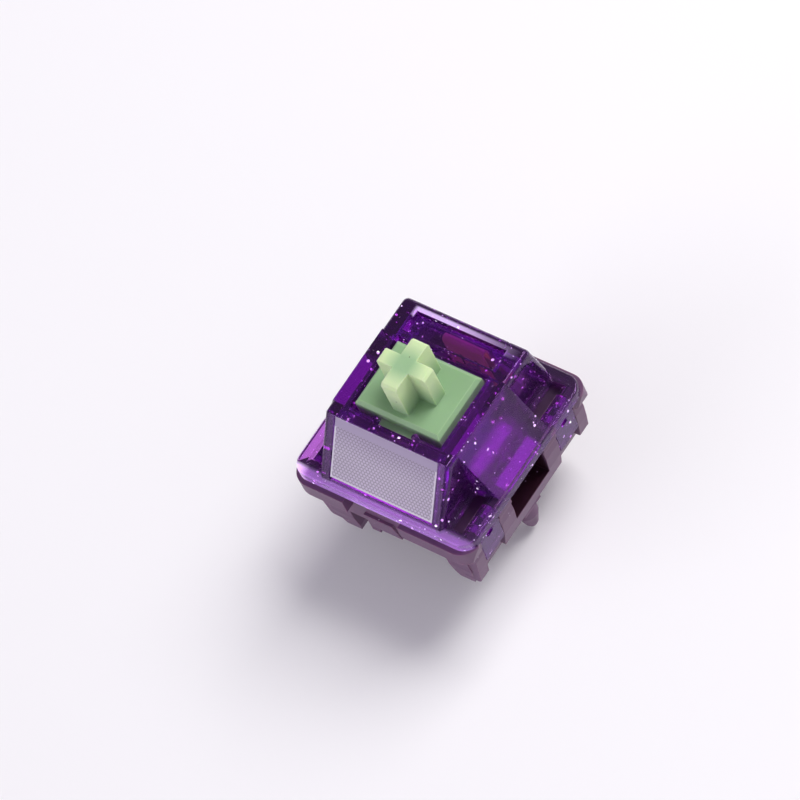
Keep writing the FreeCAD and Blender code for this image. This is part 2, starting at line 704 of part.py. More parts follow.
FACE_DEPTH = "diffuser_recess"
BACK_DEPTH = f"diffuser_recess + {FRONT_STRETCH} * diffuser_thickness"
pad(diffuser, "window_plate", "YZ_Plane", [[
    (slope_y("window_bottom + seat_gap", FACE_DEPTH), "window_bottom + seat_gap"),
    (slope_y("window_bottom + seat_gap", BACK_DEPTH), "window_bottom + seat_gap"),
    (slope_y(f"{CEILING} - seat_gap", BACK_DEPTH), f"{CEILING} - seat_gap"),
    (slope_y(f"{BAR_BEVEL} - seat_gap", FACE_DEPTH), f"{BAR_BEVEL} - seat_gap"),
]], "-(window_width / 2 - seat_gap)", "window_width / 2 - seat_gap")
pad(diffuser, "light_foot", "YZ_Plane", [[
    ("-(lamp_slot_front - seat_gap)", "diffuser_foot"),
    ("-(lamp_slot_back + seat_gap)", "diffuser_foot"),
    ("-(lamp_slot_back + seat_gap)", "window_bottom + 2 * diffuser_thickness"),
    (slope_y("window_bottom + 2 * diffuser_thickness", "diffuser_recess + diffuser_thickness"),
     "window_bottom + 2 * diffuser_thickness"),
    (slope_y("window_bottom + seat_gap", "diffuser_recess + diffuser_thickness"), "window_bottom + seat_gap"),
    (slope_y("window_bottom + seat_gap", f"diffuser_recess + {FRONT_STRETCH} * wall + seat_gap"), "lip_top"),
    ("-(lamp_slot_front - seat_gap)", "flange_top"),
]], "-(lamp_slot_width / 2 - seat_gap)", "lamp_slot_width / 2 - seat_gap")


# Stem: hollow slider with the keycap cross, guide wings, cam legs and a pole for the spring.
stem = new_body("stem")
pad(stem, "slider_box", "XY_Plane",
    [rectangle("-stem_width / 2", "stem_width / 2", "-stem_depth / 2", "stem_depth / 2")],
    "stem_bottom", "stem_top")
soften(stem, "Chamfer", "slider_bevel", "stem_bevel", lambda e: is_level_at(e, size("stem_top")))
pocket(stem, "slider_hollow", "XY_Plane",
       [rectangle("-(stem_width / 2 - stem_wall)", "stem_width / 2 - stem_wall",
                  "-(stem_depth / 2 - stem_wall / 2)", "stem_depth / 2 - stem_wall / 2")],
       "stem_bottom", "stem_seat")
pad(stem, "cross_long", "XY_Plane",
    [rectangle("-cross_span / 2", "cross_span / 2", "-cross_thin / 2", "cross_thin / 2")],
    "stem_top", "cross_top")
pad(stem, "cross_short", "XY_Plane",
    [rectangle("-cross_thick / 2", "cross_thick / 2", "-cross_span / 2", "cross_span / 2")],
    "stem_top", "cross_top")
soften(stem, "Chamfer", "cross_bevels", "cross_bevel",
       lambda e: is_level_at(e, size("cross_top")) and (
           near(abs(e.CenterOfMass.x), size("cross_span") / 2)
           or near(abs(e.CenterOfMass.y), size("cross_span") / 2)))
pad(stem, "front_skirt", "XY_Plane",
    [rectangle("-skirt_width / 2", "skirt_width / 2", "-skirt_reach", "-(stem_depth / 2 - stem_wall / 2)")],
    "skirt_bottom", "skirt_top")
pad(stem, "guide_wings", "XY_Plane",
    [rectangle("stem_width / 2 - stem_wall", "wing_reach", "-wing_width / 2", "wing_width / 2"),
     rectangle("-wing_reach", "-(stem_width / 2 - stem_wall)", "-wing_width / 2", "wing_width / 2")],
    "wing_bottom", "roof_top - roof_thickness - seat_gap")
turn_profile(stem, "spring_pole", [
    ("0", "pole_bottom"),
    ("pole_diameter / 2 - pole_edge", "pole_bottom"),
    ("pole_diameter / 2", "pole_bottom + 2 * pole_edge"),
    ("pole_diameter / 2", "stem_seat + pole_edge"),
    ("0", "stem_seat + pole_edge"),
])
cam_outline = [
    ("stem_depth / 2 - stem_wall / 2", "cam_bottom"),
    ("cam_nose - cam_edge", "cam_bottom"),
    ("cam_nose", "cam_bottom + cam_edge"),
    ("cam_nose", "cam_bottom + cam_edge + cam_nose_height"),
    ("cam_relief", "cam_bottom + cam_edge + cam_nose_height + cam_ramp"),
    ("cam_relief", "stem_bottom + cam_shoulder"),
    ("stem_depth / 2", "stem_seat - cam_edge"),
    ("stem_depth / 2 - stem_wall / 2", "stem_seat - cam_edge"),
]
pad(stem, "cam_leg_east", "YZ_Plane", [cam_outline], "leg_gap / 2", CAM_OUTER)
pad(stem, "cam_leg_west", "YZ_Plane", [cam_outline], f"-({CAM_OUTER})", "-leg_gap / 2")


# Return spring: wire wound from the housing floor to the seat under the stem.
WIRE_SIDES = 8
STEPS_PER_COIL = 20


def ring_around(place, outward, radius):
    """Closed outline of the wire's section, standing upright and facing along the coil."""
    corners = []
    for k in range(WIRE_SIDES + 1):
        turn = 2 * math.pi * k / WIRE_SIDES
        up = FreeCAD.Vector(0, 0, radius * math.sin(turn))
        corners.append(place + outward * (radius * math.cos(turn)) + up)
    return Part.makePolygon(corners)


def wind_spring():
    """Coil of straight runs between the housing floor and the stem."""
    wire_radius = size("wire_diameter") / 2
    low = size("floor_thickness") + size("seat_gap") + wire_radius
    high = size("stem_seat") - size("seat_gap") - wire_radius
    steps = round(size("coil_count") * STEPS_PER_COIL)
    sections = []
    for k in range(steps + 1):
        turn = 2 * math.pi * k / STEPS_PER_COIL
        outward = FreeCAD.Vector(math.cos(turn), math.sin(turn), 0)
        place = outward * (size("coil_diameter") / 2)
        place.z = low + (high - low) * k / steps
        sections.append(ring_around(place, outward, wire_radius))
    return Part.makeLoft(sections, True, True)


spring = doc.addObject("Part::Feature", "return_spring")
spring.Label = "return_spring"
spring.Shape = wind_spring()


def contact_prism(label, role, middle, half_base, tip, low, high):
    """Triangular contact bar: its base lies on a sheet and its ridge points across."""
    body = new_body(label)
    base, ridge = tip
    if role == "YZ_Plane":
        outline = [(base, f"{middle} - {half_base}"), (ridge, middle), (base, f"{middle} + {half_base}")]
    else:
        outline = [(f"{middle} - {half_base}", base), (f"{middle} + {half_base}", base), (middle, ridge)]
    pad(body, f"{label}_bar", role, [outline], low, high)
    return body


# Fixed contact: pin, foot on the housing floor, and a post between the cam legs.
fixed = new_body("fixed_contact")
pad(fixed, "pin_and_foot", "YZ_Plane", [[
    ("fixed_pin_y - sheet / 2", "-pin_length"),
    ("fixed_pin_y + sheet / 2", "-pin_length"),
    ("fixed_pin_y + sheet / 2", "floor_thickness"),
    ("fixed_plate_y + sheet", "floor_thickness"),
    ("fixed_plate_y + sheet", "floor_thickness + sheet"),
    ("fixed_pin_y - sheet / 2", "floor_thickness + sheet"),
]], "fixed_pin_x - pin_width / 2", "fixed_pin_x + pin_width / 2")
pad(fixed, "contact_post", "XZ_Plane", [[
    ("fixed_pin_x - pin_width / 2", "floor_thickness"),
    ("post_plate_width / 2", "floor_thickness"),
    ("post_plate_width / 2", "post_plate_top"),
    ("-post_plate_width / 2", "post_plate_top"),
    ("-post_plate_width / 2", "floor_thickness + fixed_strip_height"),
    ("fixed_pin_x - pin_width / 2", "floor_thickness + fixed_strip_height"),
]], "fixed_plate_y", "fixed_plate_y + sheet")
fixed_point = contact_prism("fixed_contact_point", "YZ_Plane", "contact_level", "point_height",
                            ("fixed_plate_y + sheet", "fixed_plate_y + sheet + point_height"),
                            "-point_length / 2", "point_length / 2")

# Leaf terminal: pin, foot, and a carrier that the contact leaf is welded to.
leaf_back = "leaf_front_y + leaf_sheet / 2 + 2 * leaf_fold_radius + leaf_sheet / 2"
terminal = new_body("leaf_terminal")
pad(terminal, "pin_and_foot", "YZ_Plane", [[
    ("leaf_pin_y - sheet / 2", "-pin_length"),
    ("leaf_pin_y + sheet / 2", "-pin_length"),
    ("leaf_pin_y + sheet / 2", "floor_thickness"),
    (f"{leaf_back} + sheet", "floor_thickness"),
    (f"{leaf_back} + sheet", "floor_thickness + sheet"),
    ("leaf_pin_y - sheet / 2", "floor_thickness + sheet"),
]], "leaf_pin_x - pin_width / 2", "leaf_pin_x + pin_width / 2")
pad(terminal, "carrier", "XZ_Plane", [[
    ("leaf_pin_x - pin_width / 2", "floor_thickness"),
    ("leaf_pin_x + pin_width / 2", "floor_thickness"),
    ("leaf_pin_x + pin_width / 2", "carrier_top - carrier_neck"),
    ("leaf_width / 2", "carrier_top - carrier_head"),
    ("leaf_width / 2", "carrier_top"),
    ("-leaf_width / 2", "carrier_top"),
    ("-leaf_width / 2", "carrier_top - carrier_head"),
    ("leaf_pin_x - pin_width / 2", "carrier_top - carrier_neck"),
]], leaf_back, f"{leaf_back} + sheet")

# Contact leaf: thin sheet folded over at the top, with two prongs and a contact tongue.
leaf = new_body("contact_leaf")
pad(leaf, "comb", "XZ_Plane", [[
    ("-leaf_width / 2", "leaf_tip"),
    ("-(leaf_width / 2 - cam_width)", "leaf_tip"),
    ("-(leaf_width / 2 - cam_width)", "leaf_slot_top"),
    ("-leaf_tongue_width / 2", "leaf_slot_top"),
    ("-leaf_tongue_width / 2", "leaf_tip - tongue_drop"),
    ("leaf_tongue_width / 2", "leaf_tip - tongue_drop"),
    ("leaf_tongue_width / 2", "leaf_slot_top"),
    ("leaf_width / 2 - cam_width", "leaf_slot_top"),
    ("leaf_width / 2 - cam_width", "leaf_tip"),
    ("leaf_width / 2", "leaf_tip"),
    ("leaf_width / 2", "leaf_fold_level"),
    ("-leaf_width / 2", "leaf_fold_level"),
]], "leaf_front_y", "leaf_front_y + leaf_sheet")
pad(leaf, "weld_tab", "XZ_Plane",
    [rectangle("-leaf_width / 2", "leaf_width / 2", "leaf_fold_level - leaf_tab_height", "leaf_fold_level")],
    f"{leaf_back} - leaf_sheet", leaf_back)
fold_sketch = new_sketch(leaf, "fold_sketch", "XY_Plane",
                         along="leaf_front_y + leaf_sheet / 2 + leaf_fold_radius", level="leaf_fold_level")
draw_outline(fold_sketch, rectangle("-leaf_width / 2", "leaf_width / 2",
                                    "leaf_fold_radius - leaf_sheet / 2", "leaf_fold_radius + leaf_sheet / 2"))
fold = leaf.newObject("PartDesign::Revolution", "fold")
fold.Profile = fold_sketch
fold.ReferenceAxis = (fold_sketch, ["H_Axis"])
fold.Angle = 180
leaf_point = contact_prism("leaf_contact_point", "XY_Plane", "0", "point_height / 2",
                           ("leaf_front_y", "leaf_front_y - point_height"),
                           "contact_level - point_length / 2", "contact_level + point_length / 2")

doc.recompute()

for item in doc.Objects:
    check(item)

os.makedirs("parts", exist_ok=True)
PIECES = [bottom, top, diffuser, stem, spring, fixed, fixed_point, terminal, leaf, leaf_point]
for piece in PIECES:
    shape = piece.Shape
    if shape.isNull() or not shape.isValid() or len(shape.Solids) != 1:
        raise RuntimeError(f"{piece.Label} is not one sound solid")
    shape.exportStep(f"parts/{piece.Label}.step")
    print(f"{piece.Label}: {shape.Volume:.2f} mm3")
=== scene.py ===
"""Looks of a keyboard switch with a clear glitter hood, in metres.

The sections follow the switch as it is put together, from the base up to the hood,
and end with the light, the floor and the camera.
"""
import math

import bpy
import numpy as np
from mathutils import Matrix, Vector


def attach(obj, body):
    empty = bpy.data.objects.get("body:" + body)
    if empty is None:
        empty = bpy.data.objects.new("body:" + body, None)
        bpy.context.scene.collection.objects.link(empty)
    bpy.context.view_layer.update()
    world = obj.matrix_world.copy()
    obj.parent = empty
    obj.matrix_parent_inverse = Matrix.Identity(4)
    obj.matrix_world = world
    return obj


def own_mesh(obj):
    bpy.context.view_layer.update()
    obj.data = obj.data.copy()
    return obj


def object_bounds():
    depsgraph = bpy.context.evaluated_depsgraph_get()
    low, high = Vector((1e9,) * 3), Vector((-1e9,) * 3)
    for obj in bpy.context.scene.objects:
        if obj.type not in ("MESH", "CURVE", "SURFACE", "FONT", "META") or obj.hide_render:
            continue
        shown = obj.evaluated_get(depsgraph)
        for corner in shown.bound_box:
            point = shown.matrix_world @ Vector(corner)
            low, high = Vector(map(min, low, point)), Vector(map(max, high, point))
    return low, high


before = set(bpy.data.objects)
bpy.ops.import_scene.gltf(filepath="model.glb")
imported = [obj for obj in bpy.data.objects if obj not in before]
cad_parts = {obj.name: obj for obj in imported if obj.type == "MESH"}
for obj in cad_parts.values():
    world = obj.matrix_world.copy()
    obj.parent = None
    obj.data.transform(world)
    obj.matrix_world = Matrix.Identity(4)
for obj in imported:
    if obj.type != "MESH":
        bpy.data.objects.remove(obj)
cad_low, cad_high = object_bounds()

# Bottom housing
# The base is one smoky plum moulding of a tough, slightly translucent nylon blend, with a satin
# skin and a few pale specks; its edges carry a thin pink painted highlight. Its cavity and flank
# niches lie in deep shade, so they are darker by place, as painted shade.
MM = 0.001
BASE_PLUM = (0.160, 0.070, 0.152, 1.0)
BASE_EDGE_HIGHLIGHT = (0.400, 0.180, 0.300, 1.0)
BASE_SPECK = (0.62, 0.50, 0.66, 1.0)
NICHE_DARK = (0.026, 0.003, 0.012, 1.0)
INNER_DARK = (0.030, 0.004, 0.034, 1.0)
NICHE_HALF = 2.2 * MM
NICHE_REACH = 6.65 * MM
NICHE_FLOOR = 2.2 * MM
NICHE_TOP = 6.6 * MM
CAVITY_HALF = 6.7 * MM
CAVITY_LEVELS = (3.0 * MM, 8.0 * MM)
SOFT = 0.02 * MM


def new_material(name):
    """Empty node material with a Principled shader; returns the material, its nodes, links and shader."""
    material = bpy.data.materials.new(name)
    material.use_nodes = True
    nodes = material.node_tree.nodes
    return material, nodes, material.node_tree.links, nodes["Principled BSDF"]


def dress(node, material):
    """Give a CAD node one material in all its slots."""
    mesh_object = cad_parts[node]
    mesh_object.data.materials.clear()
    mesh_object.data.materials.append(material)
    return mesh_object


def group_socket(tree, name, direction, kind, value=None):
    """Named input or output of a node group."""
    socket = tree.interface.new_socket(name=name, in_out=direction, socket_type=kind)
    if value is not None:
        socket.default_value = value


def math_node(nodes, links, operation, first, second=None):
    """Math node; each argument is a number or a socket."""
    node = nodes.new("ShaderNodeMath")
    node.operation = operation
    for slot, value in enumerate((first, second)):
        if value is None:
            continue
        if isinstance(value, (int, float)):
            node.inputs[slot].default_value = value
        else:
            links.new(value, node.inputs[slot])
    return node.outputs[0]


def build_speck_group():
    """Scattered dots: each cell of a fine net holds one point, and a share of the cells shows it.

    Mask is 1 inside a dot whose random value is under Share, and Tone is that dot's own random value.
    """
    tree = bpy.data.node_groups.new("scattered_specks", "ShaderNodeTree")
    group_socket(tree, "Pitch", "INPUT", "NodeSocketFloat", 0.0005)
    group_socket(tree, "Size", "INPUT", "NodeSocketFloat", 0.2)
    group_socket(tree, "Share", "INPUT", "NodeSocketFloat", 0.1)
    group_socket(tree, "Mask", "OUTPUT", "NodeSocketFloat")
    group_socket(tree, "Tone", "OUTPUT", "NodeSocketFloat")
    nodes, links = tree.nodes, tree.links
    given = nodes.new("NodeGroupInput")
    result = nodes.new("NodeGroupOutput")
    place = nodes.new("ShaderNodeTexCoord")
    cells = nodes.new("ShaderNodeTexVoronoi")
    cells.feature = "F1"
    links.new(place.outputs["Object"], cells.inputs["Vector"])
    links.new(math_node(nodes, links, "DIVIDE", 1.0, given.outputs["Pitch"]), cells.inputs["Scale"])
    split = nodes.new("ShaderNodeSeparateColor")
    links.new(cells.outputs["Color"], split.inputs[0])
    near_point = math_node(nodes, links, "LESS_THAN", cells.outputs["Distance"], given.outputs["Size"])
    chosen = math_node(nodes, links, "LESS_THAN", split.outputs[0], given.outputs["Share"])
    links.new(math_node(nodes, links, "MULTIPLY", near_point, chosen), result.inputs["Mask"])
    links.new(split.outputs[1], result.inputs["Tone"])
    return tree


def build_grain_group():
    """Fine moulded skin: two layers of noise, given as a height and as a slow drift of tone."""
    tree = bpy.data.node_groups.new("moulded_grain", "ShaderNodeTree")
    group_socket(tree, "Fine", "INPUT", "NodeSocketFloat", 9000.0)
    group_socket(tree, "Broad", "INPUT", "NodeSocketFloat", 500.0)
    group_socket(tree, "Height", "OUTPUT", "NodeSocketFloat")
    group_socket(tree, "Drift", "OUTPUT", "NodeSocketFloat")
    nodes, links = tree.nodes, tree.links
    given = nodes.new("NodeGroupInput")
    result = nodes.new("NodeGroupOutput")
    place = nodes.new("ShaderNodeTexCoord")
    for wanted, target, detail in (("Fine", "Height", 2.0), ("Broad", "Drift", 3.0)):
        noise = nodes.new("ShaderNodeTexNoise")
        noise.inputs["Detail"].default_value = detail
        links.new(place.outputs["Object"], noise.inputs["Vector"])
        links.new(given.outputs[wanted], noise.inputs["Scale"])
        links.new(noise.outputs["Fac"], result.inputs[target])
    return tree


def build_edge_group():
    """Edges of a solid, where the normal of a rounded copy leaves the true one.

    Edge is 1 on a sharp edge and 0 on a flat, and Normal is the rounded normal.
    """
    tree = bpy.data.node_groups.new("soft_edges", "ShaderNodeTree")
    group_socket(tree, "Radius", "INPUT", "NodeSocketFloat", 0.0001)
    group_socket(tree, "Edge", "OUTPUT", "NodeSocketFloat")
    group_socket(tree, "Normal", "OUTPUT", "NodeSocketVector")
    nodes, links = tree.nodes, tree.links
    given = nodes.new("NodeGroupInput")
    result = nodes.new("NodeGroupOutput")
    rounded = nodes.new("ShaderNodeBevel")
    rounded.samples = 6
    links.new(given.outputs["Radius"], rounded.inputs["Radius"])
    true = nodes.new("ShaderNodeNewGeometry")
    product = nodes.new("ShaderNodeVectorMath")
    product.operation = "DOT_PRODUCT"
    links.new(rounded.outputs[0], product.inputs[0])
    links.new(true.outputs["Normal"], product.inputs[1])
    spread = nodes.new("ShaderNodeMapRange")
    spread.inputs["From Min"].default_value = 0.99
    spread.inputs["From Max"].default_value = 0.80
    links.new(product.outputs["Value"], spread.inputs["Value"])
    links.new(spread.outputs[0], result.inputs["Edge"])
    links.new(rounded.outputs[0], result.inputs["Normal"])
    return tree


SPECKS = build_speck_group()
GRAIN = build_grain_group()
EDGES = build_edge_group()


def place_group(nodes, tree, **values):
    """Put a node group in a material with its own values."""
    node = nodes.new("ShaderNodeGroup")
    node.node_tree = tree
    for name, value in values.items():
        node.inputs[name].default_value = value
    return node


def blend_colors(nodes, links, share, first, second):
    """Mix of two colours, each a tuple or a socket, by a share socket or number."""
    mix = nodes.new("ShaderNodeMix")
    mix.data_type = "RGBA"
    for slot, value in ((0, share), (6, first), (7, second)):
        if isinstance(value, (tuple, float, int)):
            mix.inputs[slot].default_value = value
        else:
            links.new(value, mix.inputs[slot])
    return mix.outputs[2]


def split_place(nodes, links):
    """X, Y and Z of the shaded point in the part's own frame."""
    place = nodes.new("ShaderNodeTexCoord")
    split = nodes.new("ShaderNodeSeparateXYZ")
    links.new(place.outputs["Object"], split.inputs[0])
    return split.outputs


def inside_band(nodes, links, value, low, high, soft):
    """1 where a socket lies between two levels, falling to 0 over a soft margin outside them."""
    middle = (low + high) / 2
    offset = math_node(nodes, links, "ABSOLUTE", math_node(nodes, links, "SUBTRACT", value, middle))
    fall = nodes.new("ShaderNodeMapRange")
    fall.inputs["From Min"].default_value = (high - low) / 2 + soft
    fall.inputs["From Max"].default_value = (high - low) / 2
    links.new(offset, fall.inputs["Value"])
    return fall.outputs[0]


def inside_all(nodes, links, *spans):
    """Product of inside_band over spans, each a socket with its low level, high level and soft margin."""
    share = 1.0
    for span in spans:
        share = math_node(nodes, links, "MULTIPLY", share, inside_band(nodes, links, *span))
    return share


def scaled(color, share):
    """Darker or lighter tone of a colour: its three parts times a share."""
    return tuple(part * share for part in color[:3]) + (1.0,)


def add_bump(nodes, links, shader, height, distance, strength, normal=None):
    """Bump from a height socket, laid over a given normal where there is one."""
    bump = nodes.new("ShaderNodeBump")
    bump.inputs["Distance"].default_value = distance
    bump.inputs["Strength"].default_value = strength
    links.new(height, bump.inputs["Height"])
    if normal is not None:
        links.new(normal, bump.inputs["Normal"])
    links.new(bump.outputs[0], shader.inputs["Normal"])


def make_base_plastic():
    """Satin plum, drifting between two tones, with painted highlights on its edges, painted shade in its
    cavity and niches, and specks over all of it.
    """
    material, nodes, links, shader = new_material("smoky_plum_nylon")
    grain = place_group(nodes, GRAIN, Fine=14000.0, Broad=420.0)
    edge = place_group(nodes, EDGES, Radius=0.07 * MM)
    specks = place_group(nodes, SPECKS, Pitch=0.35 * MM, Size=0.16, Share=0.06)
    dark = (BASE_PLUM[0] * 0.72, BASE_PLUM[1] * 0.7, BASE_PLUM[2] * 0.78, 1.0)
    plain = blend_colors(nodes, links, grain.outputs["Drift"], BASE_PLUM, dark)
    x, y, z = split_place(nodes, links)
    in_niche = inside_all(nodes, links, (x, -NICHE_REACH, NICHE_REACH, 0.15 * MM),
                          (y, -NICHE_HALF, NICHE_HALF, SOFT), (z, NICHE_FLOOR, NICHE_TOP, SOFT))
    inside = inside_all(nodes, links, (x, -CAVITY_HALF, CAVITY_HALF, 0.05 * MM),
                        (y, -CAVITY_HALF, CAVITY_HALF, 0.05 * MM), (z, *CAVITY_LEVELS, 0.2 * MM))
    cavity = blend_colors(nodes, links, inside, plain, INNER_DARK)
    body = blend_colors(nodes, links, in_niche, cavity, NICHE_DARK)
    # Painted highlight: every edge of the solid is lightened towards pale pink.
    edge_highlight_share = math_node(nodes, links, "MULTIPLY", edge.outputs["Edge"], 0.5)
    edged = blend_colors(nodes, links, edge_highlight_share, body, BASE_EDGE_HIGHLIGHT)
    tone = math_node(nodes, links, "MULTIPLY", specks.outputs["Mask"], specks.outputs["Tone"])
    links.new(blend_colors(nodes, links, tone, edged, BASE_SPECK), shader.inputs["Base Color"])
    shader.inputs["Roughness"].default_value = 0.42
    shader.inputs["Subsurface Weight"].default_value = 0.25
    shader.inputs["Subsurface Radius"].default_value = (1.0, 0.35, 0.5)
    shader.inputs["Subsurface Scale"].default_value = 0.4 * MM
    add_bump(nodes, links, shader, grain.outputs["Height"], 0.01 * MM, 0.35, edge.outputs["Normal"])
    return material


dress("bottom_housing", make_base_plastic())


# Metal contacts
# Both terminals are stamped sheet, tin plated; the folded leaf is bright copper alloy.
# They are pressed into slots of the base, and the leaf shows through the clear tray. Its faint
# glow makes up for the light that the tinted tray takes away.
TIN = (0.80, 0.76, 0.68, 1.0)
COPPER = (1.0, 0.66, 0.50, 1.0)
GOLD = (0.95, 0.74, 0.38, 1.0)
LEAF_GLOW = (0.42, 0.34, 0.14, 1.0)
LEAF_GLOW_STRENGTH = 0.35


def make_sheet_metal(name, color, roughness, streak):
    """Rolled sheet: the colour darkens along fine streaks that run up the strip."""
    material, nodes, links, shader = new_material(name)
    place = nodes.new("ShaderNodeTexCoord")
    stretch = nodes.new("ShaderNodeMapping")
    stretch.inputs["Scale"].default_value = (1.0, 1.0, 0.06)
    links.new(place.outputs["Object"], stretch.inputs["Vector"])
    noise = nodes.new("ShaderNodeTexNoise")
    noise.inputs["Scale"].default_value = 9000.0
    links.new(stretch.outputs[0], noise.inputs["Vector"])
    rolled = blend_colors(nodes, links, noise.outputs["Fac"], scaled(color, streak), color)
    links.new(rolled, shader.inputs["Base Color"])
    shader.inputs["Metallic"].default_value = 1.0
    shader.inputs["Roughness"].default_value = roughness
    add_bump(nodes, links, shader, noise.outputs["Fac"], 0.004 * MM, 0.3)
    return material


tinned = make_sheet_metal("tinned_sheet", TIN, 0.28, 0.75)
copper = make_sheet_metal("copper_leaf", COPPER, 0.40, 0.85)
gold = make_sheet_metal("gold_bar", GOLD, 0.2, 0.85)
leaf_sockets = copper.node_tree.nodes["Principled BSDF"].inputs
leaf_sockets["Emission Color"].default_value = LEAF_GLOW
leaf_sockets["Emission Strength"].default_value = LEAF_GLOW_STRENGTH
dress("fixed_contact", tinned)
dress("leaf_terminal", tinned)
dress("contact_leaf", copper)
dress("fixed_contact_point", gold)
dress("leaf_contact_point", gold)


# Return spring
# Drawn steel wire, wound cold into a coil that slips over the centre post. It stands on the
# floor of the base and shortens towards it as the stem goes down.
WIRE_DARK = (0.62, 0.60, 0.62, 1.0)
WIRE_BRIGHT = (0.82, 0.81, 0.83, 1.0)


def make_spring_wire():
    """Bright wire with soft patches of a darker drawing film."""
    material, nodes, links, shader = new_material("drawn_steel_wire")
    noise = nodes.new("ShaderNodeTexNoise")
    noise.inputs["Scale"].default_value = 6000.0
    place = nodes.new("ShaderNodeTexCoord")
    links.new(place.outputs["Object"], noise.inputs["Vector"])
    drawn = blend_colors(nodes, links, noise.outputs["Fac"], WIRE_DARK, WIRE_BRIGHT)
    links.new(drawn, shader.inputs["Base Color"])
    shader.inputs["Metallic"].default_value = 1.0
    shader.inputs["Roughness"].default_value = 0.25
    return material


spring = dress("return_spring", make_spring_wire())
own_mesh(spring)


# Stem
# Pale green slider of a waxy, self-lubricating plastic, moulded in one piece with its cross.
# Light sinks into it a little, and dust shows on it as tiny dark specks. A painted glow lightens it
# up the cross, its edges carry painted highlights, and painted shade darkens the top where the arms meet.
STEM_GREEN = (0.270, 0.440, 0.240, 1.0)
STEM_PAINTED_GLOW = (0.600, 0.740, 0.430, 1.0)
STEM_TOP_SHADE = (0.330, 0.520, 0.290, 1.0)
STEM_SPECK = (0.10, 0.12, 0.08, 1.0)
STEM_RISE = (11.9 * MM, 14.2 * MM)
CROSS_TOP = (14.0 * MM, 16.0 * MM)
HEART_HALF = 0.5 * MM


def make_stem_plastic():
    """Green with a painted glow that lightens it up the cross, painted shade on the upward faces where
    its arms meet, and painted highlights on its edges.
    """
    material, nodes, links, shader = new_material("waxy_green_plastic")
    grain = place_group(nodes, GRAIN, Fine=11000.0, Broad=260.0)
    edge = place_group(nodes, EDGES, Radius=0.10 * MM)
    specks = place_group(nodes, SPECKS, Pitch=0.8 * MM, Size=0.07, Share=0.12)
    x, y, z = split_place(nodes, links)
    # Painted glow: the colour lightens up the cross, for light that shines through its arms.
    rise = nodes.new("ShaderNodeMapRange")
    rise.inputs["From Min"].default_value = STEM_RISE[0]
    rise.inputs["From Max"].default_value = STEM_RISE[1]
    links.new(z, rise.inputs["Value"])
    sides = blend_colors(nodes, links, rise.outputs[0], STEM_GREEN, STEM_PAINTED_GLOW)
    facing = nodes.new("ShaderNodeNewGeometry")
    turned = nodes.new("ShaderNodeSeparateXYZ")
    links.new(facing.outputs["Normal"], turned.inputs[0])
    # Painted shade on the upward faces round the middle of the cross top.
    shaded_heart = inside_all(nodes, links, (turned.outputs["Z"], 0.9, 1.1, 0.2), (z, *CROSS_TOP, 0.2 * MM),
                       (x, -HEART_HALF, HEART_HALF, 1.1 * MM), (y, -HEART_HALF, HEART_HALF, 1.1 * MM))
    body = blend_colors(nodes, links, shaded_heart, sides, STEM_TOP_SHADE)
    # Painted highlight along the edges.
    stem_edge_highlight = math_node(nodes, links, "MULTIPLY", edge.outputs["Edge"], 0.35)
    edged = blend_colors(nodes, links, stem_edge_highlight, body, scaled(STEM_PAINTED_GLOW, 1.12))
    dusty = blend_colors(nodes, links, specks.outputs["Mask"], edged, STEM_SPECK)
    links.new(dusty, shader.inputs["Base Color"])
    shader.inputs["Roughness"].default_value = 0.46
    shader.inputs["Subsurface Weight"].default_value = 0.55
    shader.inputs["Subsurface Radius"].default_value = (0.8, 1.0, 0.45)
    shader.inputs["Subsurface Scale"].default_value = 0.8 * MM
    add_bump(nodes, links, shader, grain.outputs["Height"], 0.008 * MM, 0.25, edge.outputs["Normal"])
    return material


dress("stem", make_stem_plastic())


# Light diffuser
# Clear plastic insert behind the window, dropped into the base and held down by the hood. Its
# sloped face carries a fine honeycomb of domes, under a plain frosted band along the roof bar.
DIFFUSER_PALE = (0.74, 0.65, 0.82, 1.0)
DIFFUSER_RIM = (0.86, 0.80, 0.92, 1.0)
DIFFUSER_BAND = (0.46, 0.37, 0.56, 1.0)
DIFFUSER_DARK = (0.16, 0.11, 0.20, 1.0)
DOME_PITCH = 0.28 * MM
ROW_PITCH = 0.22 * MM
SEAM_LEVELS = (-0.1, -1.1)
SLOPE_RUN = 3.07
SLOPE_RISE = 4.45
PATTERN_HALF = 4.22 * MM
PATTERN_FOOT = 7.62 * MM
BAND_BOTTOM = 10.85 * MM
BAND_TOP = 11.4 * MM


